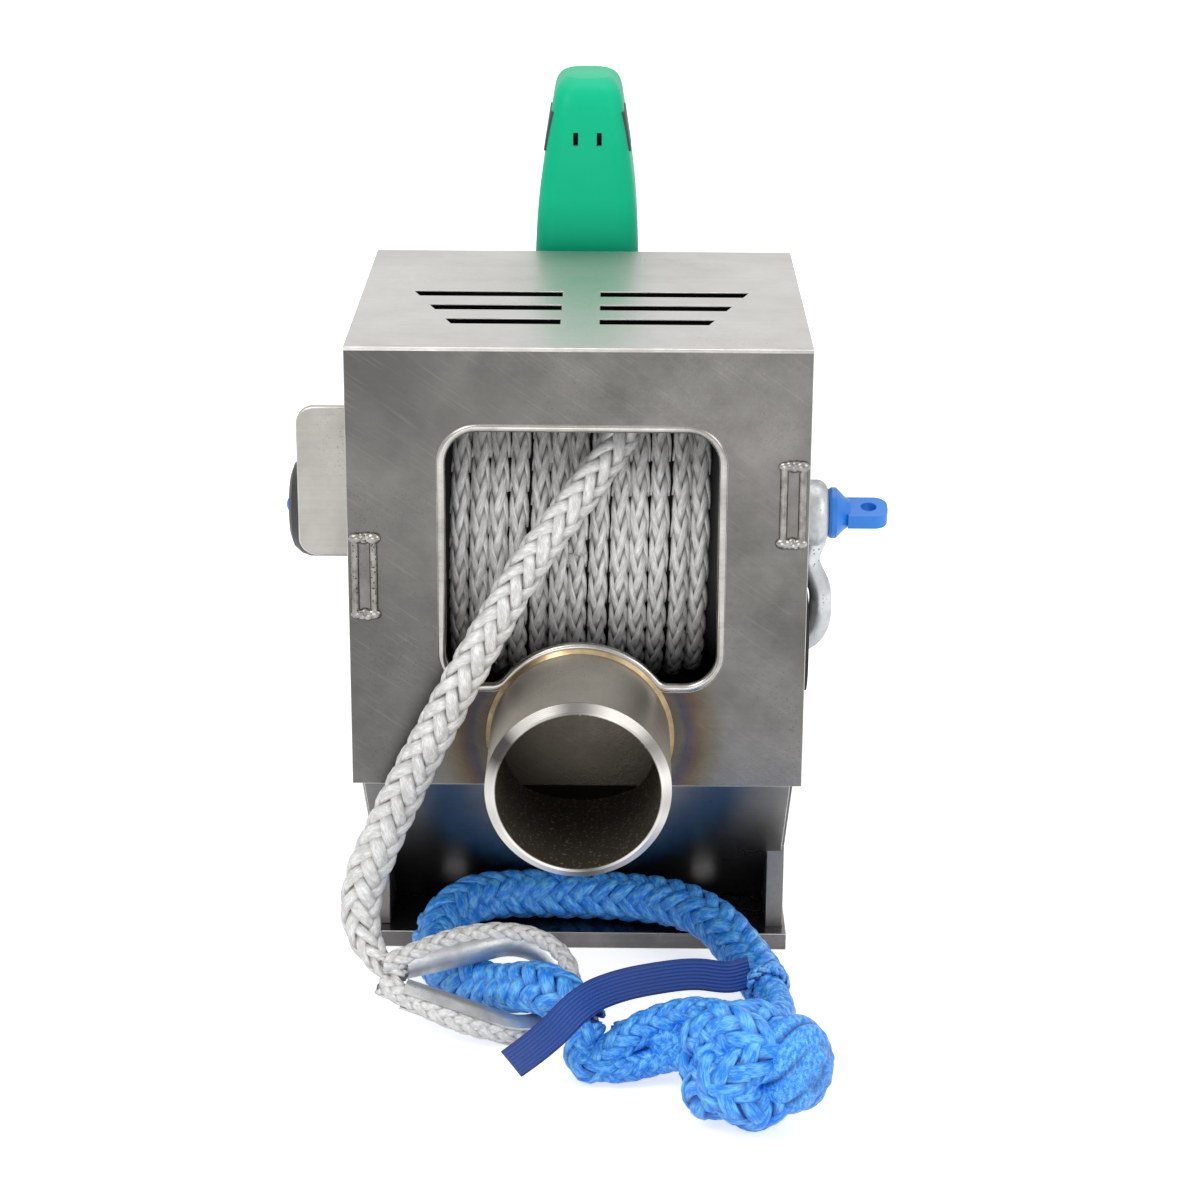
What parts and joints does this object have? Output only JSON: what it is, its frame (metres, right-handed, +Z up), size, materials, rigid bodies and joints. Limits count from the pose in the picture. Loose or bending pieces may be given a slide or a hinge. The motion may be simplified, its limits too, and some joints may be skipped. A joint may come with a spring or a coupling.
{
  "type": "compact mooring winch",
  "caption": "Welded steel winch housing with a rope drum behind a framed window, a rope pipe, a bow shackle and a spliced rope end with thimble and soft shackle.",
  "frame": {"origin": "centre of the base plate's underside", "axes": "+Z up, the window and the rope pipe face -Y, +X to the right seen from the front"},
  "size_m": [0.2736, 0.4207, 0.3817],
  "materials": {
    "sheet_steel": "mill finish, brushed",
    "front_steel": "brushed, mottled",
    "top_steel": "brushed, light",
    "pipe_steel": "turned",
    "polished_steel": "polished",
    "weld_steel": "rippled weld",
    "guard_steel": "satin",
    "bearing_metal": "machined",
    "drive_metal": "satin",
    "galvanised_steel": "hot dip galvanised",
    "blue_paint": "gloss",
    "green_plastic": "satin",
    "grip_plastic": "matt",
    "knob_plastic": "matt",
    "cap_plastic": "gloss",
    "black_rubber": "matt",
    "grey_rope": "braided fibre, silky",
    "blue_rope": "braided fibre, silky",
    "ribbon_weave": "woven tape"
  },
  "bodies": {
    "frame": {"base_plate": "sheet_steel", "side_plate_left": "sheet_steel", "side_plate_right": "sheet_steel", "front_plate": "front_steel", "window_rim": "polished_steel", "top_plate": "top_steel", "apron_plate": "sheet_steel", "rear_plate": "sheet_steel", "rope_pipe": "pipe_steel", "pipe_weld": "weld_steel", "tab_weld_left": "weld_steel", "tab_weld_right": "weld_steel", "corner_weld": "weld_steel", "bearing_left": "bearing_metal", "bearing_right": "bearing_metal", "gear_case": "drive_metal", "guard_plate": "guard_steel", "hand_hole_trim": "black_rubber", "motor_flange": "drive_metal", "motor_body": "drive_metal", "motor_hood": "green_plastic", "hood_grip_left": "grip_plastic", "hood_grip_right": "grip_plastic", "rope_tail": "grey_rope", "rope_eye": "grey_rope", "thimble": "galvanised_steel", "soft_shackle_loop": "blue_rope", "soft_shackle_eye": "blue_rope", "soft_shackle_stem": "blue_rope", "soft_shackle_knot": "blue_rope", "tag_ribbon": "ribbon_weave"},
    "drum": {"drum_core": "bearing_metal", "drum_flange_left": "bearing_metal", "drum_flange_right": "bearing_metal", "drum_shaft": "bearing_metal", "wound_rope": "grey_rope", "clutch_knob": "knob_plastic", "knob_cap": "cap_plastic"},
    "shackle": {"shackle_bow": "galvanised_steel", "shackle_pin": "blue_paint"}
  },
  "joints": [
    {"name": "drum_turn", "type": "hinge", "parent": "frame", "child": "drum", "pos_m": [0, -0.023, 0.202], "axis": [1, 0, 0], "continuous": true},
    {"name": "shackle_swing", "type": "hinge", "parent": "frame", "child": "shackle", "pos_m": [0.0925, -0.085, 0.219], "axis": [1, 0, 0], "range_deg": [-6, 12]}
  ]
}
